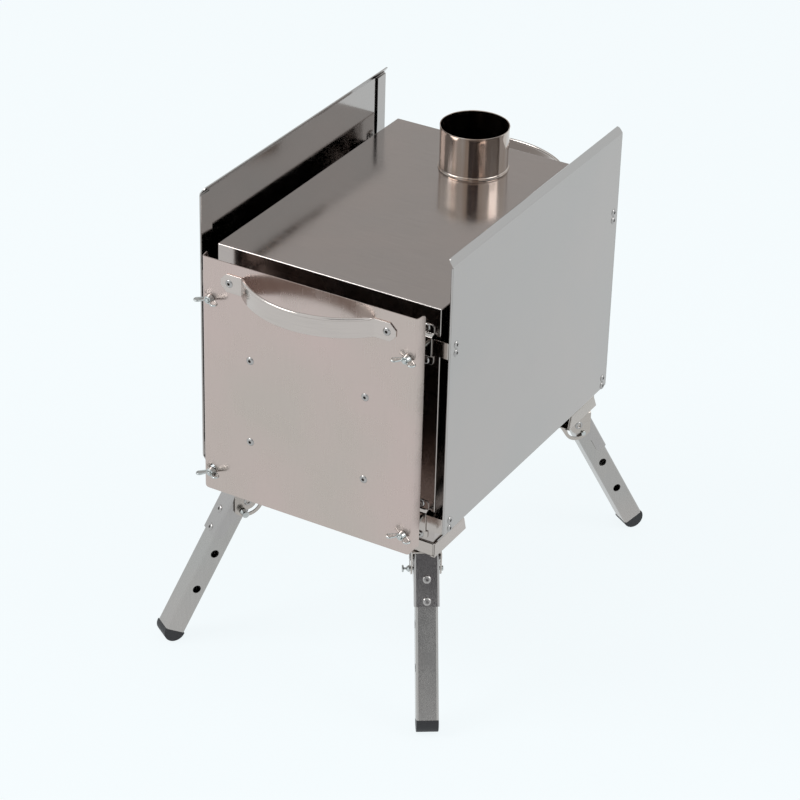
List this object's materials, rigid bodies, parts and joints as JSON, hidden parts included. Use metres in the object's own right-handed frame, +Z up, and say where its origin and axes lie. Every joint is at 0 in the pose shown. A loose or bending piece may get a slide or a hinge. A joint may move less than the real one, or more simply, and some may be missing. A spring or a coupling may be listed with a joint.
{
  "type": "tent wood stove",
  "caption": "Sheet steel tent stove with folding legs, flue collar, hinged door, removable rear heat screen on wing nuts, and two pull-off side heat screens.",
  "frame": {"origin": "on the floor, under the centre of the firebox", "axes": "+Z up, +Y towards the door end, +X towards the stove's right as seen looking along +Y"},
  "size_m": [0.3766, 0.5417, 0.5607],
  "materials": {
    "firebox": "brushed",
    "collar": "polished",
    "hearth": "matt",
    "members": "brushed",
    "clips": "satin",
    "rivets": "satin",
    "zinc": "bright zinc",
    "rear_plate": "brushed",
    "handles": "polished",
    "screens": "brushed",
    "leg_tubes": "brushed",
    "leg_sleeves": "brushed",
    "feet": "matt",
    "door": "brushed"
  },
  "bodies": {
    "stove_body": {"top_plate": "firebox", "side_plate_left": "firebox", "side_plate_right": "firebox", "bottom_plate": "firebox", "rear_wall": "firebox", "front_wall": "firebox", "flue_ring": "firebox", "flue_collar": "collar", "baffle_plate": "hearth", "grate": "hearth", "cross_member_rear": "members", "cross_member_front": "members", "shell_rivets": "rivets", "cover_keepers": "clips", "cover_studs": "zinc", "front_handle": "handles", "screen_sockets": "clips", "leg_brackets": "members", "pivot_rivets": "rivets", "hinge_leaves": "clips", "hinge_pins": "zinc", "latch_catch": "clips"},
    "rear_screen": {"cover_plate": "rear_plate", "cover_reflector": "rear_plate", "cover_spacers": "rivets", "cover_rivets": "rivets", "cover_handle": "handles"},
    "screen_left": {"side_screen_left": "screens", "screen_straps_left": "clips", "screen_rivets_left": "rivets"},
    "screen_right": {"side_screen_right": "screens", "screen_straps_right": "clips", "screen_rivets_right": "rivets"},
    "door": {"door_plate": "door"},
    "latch": {"door_latch": "door"},
    "slider": {"air_slider": "door"},
    "nut_upper_left": {"wing_nut_upper_left": "zinc"},
    "nut_upper_right": {"wing_nut_upper_right": "zinc"},
    "nut_lower_left": {"wing_nut_lower_left": "zinc"},
    "nut_lower_right": {"wing_nut_lower_right": "zinc"},
    "leg_rear_left": {"leg_tube_rear_left": "leg_tubes", "leg_sleeve_rear_left": "leg_sleeves", "foot_rear_left": "feet", "lock_pin_rear_left": "zinc"},
    "knob_rear_left": {"lock_knob_rear_left": "zinc"},
    "leg_rear_right": {"leg_tube_rear_right": "leg_tubes", "leg_sleeve_rear_right": "leg_sleeves", "foot_rear_right": "feet", "lock_pin_rear_right": "zinc"},
    "knob_rear_right": {"lock_knob_rear_right": "zinc"},
    "leg_front_left": {"leg_tube_front_left": "leg_tubes", "leg_sleeve_front_left": "leg_sleeves", "foot_front_left": "feet", "lock_pin_front_left": "zinc"},
    "knob_front_left": {"lock_knob_front_left": "zinc"},
    "leg_front_right": {"leg_tube_front_right": "leg_tubes", "leg_sleeve_front_right": "leg_sleeves", "foot_front_right": "feet", "lock_pin_front_right": "zinc"},
    "knob_front_right": {"lock_knob_front_right": "zinc"}
  },
  "joints": [
    {"name": "rear_screen_pull", "type": "slide", "parent": "stove_body", "child": "rear_screen", "axis": [0, -1, 0], "range_m": [0, 0.06]},
    {"name": "nut_upper_left_turn", "type": "hinge", "parent": "rear_screen", "child": "nut_upper_left", "pos_m": [-0.123, -0.2338, 0.44947], "axis": [0, -1, 0], "continuous": true},
    {"name": "nut_upper_right_turn", "type": "hinge", "parent": "rear_screen", "child": "nut_upper_right", "pos_m": [0.123, -0.2338, 0.44947], "axis": [0, -1, 0], "continuous": true},
    {"name": "nut_lower_left_turn", "type": "hinge", "parent": "rear_screen", "child": "nut_lower_left", "pos_m": [-0.123, -0.2338, 0.23097], "axis": [0, -1, 0], "continuous": true},
    {"name": "nut_lower_right_turn", "type": "hinge", "parent": "rear_screen", "child": "nut_lower_right", "pos_m": [0.123, -0.2338, 0.23097], "axis": [0, -1, 0], "continuous": true},
    {"name": "screen_left_pull", "type": "slide", "parent": "stove_body", "child": "screen_left", "axis": [-1, 0, 0], "range_m": [0, 0.045]},
    {"name": "screen_right_pull", "type": "slide", "parent": "stove_body", "child": "screen_right", "axis": [1, 0, 0], "range_m": [0, 0.045]},
    {"name": "leg_rear_left_fold", "type": "hinge", "parent": "stove_body", "child": "leg_rear_left", "pos_m": [-0.1209, -0.1769, 0.17077], "axis": [0.8329, -0.5534, 0], "range_deg": [0, 118]},
    {"name": "knob_rear_left_pull", "type": "slide", "parent": "leg_rear_left", "child": "knob_rear_left", "axis": [0.8329, -0.5534, 0], "range_m": [0, 0.003], "stiffness_N_per_m": 250, "springref_m": -0.004},
    {"name": "leg_rear_right_fold", "type": "hinge", "parent": "stove_body", "child": "leg_rear_right", "pos_m": [0.1209, -0.1769, 0.17077], "axis": [0.8329, 0.5534, 0], "range_deg": [0, 118]},
    {"name": "knob_rear_right_pull", "type": "slide", "parent": "leg_rear_right", "child": "knob_rear_right", "axis": [-0.8329, -0.5534, 0], "range_m": [0, 0.003], "stiffness_N_per_m": 250, "springref_m": -0.004},
    {"name": "leg_front_left_fold", "type": "hinge", "parent": "stove_body", "child": "leg_front_left", "pos_m": [-0.1209, 0.1769, 0.17077], "axis": [-0.8329, -0.5534, 0], "range_deg": [0, 118]},
    {"name": "knob_front_left_pull", "type": "slide", "parent": "leg_front_left", "child": "knob_front_left", "axis": [0.8329, 0.5534, 0], "range_m": [0, 0.003], "stiffness_N_per_m": 250, "springref_m": -0.004},
    {"name": "leg_front_right_fold", "type": "hinge", "parent": "stove_body", "child": "leg_front_right", "pos_m": [0.1209, 0.1769, 0.17077], "axis": [-0.8329, 0.5534, 0], "range_deg": [0, 118]},
    {"name": "knob_front_right_pull", "type": "slide", "parent": "leg_front_right", "child": "knob_front_right", "axis": [-0.8329, 0.5534, 0], "range_m": [0, 0.003], "stiffness_N_per_m": 250, "springref_m": -0.004},
    {"name": "door_swing", "type": "hinge", "parent": "stove_body", "child": "door", "pos_m": [-0.096, 0.1985, 0.30277], "axis": [0, 0, 1], "range_deg": [0, 115]},
    {"name": "latch_turn", "type": "hinge", "parent": "door", "child": "latch", "pos_m": [0.06, 0.1985, 0.30277], "axis": [0, 1, 0], "range_deg": [0, 90]},
    {"name": "air_slide", "type": "slide", "parent": "door", "child": "slider", "axis": [1, 0, 0], "range_m": [0, 0.014]}
  ]
}
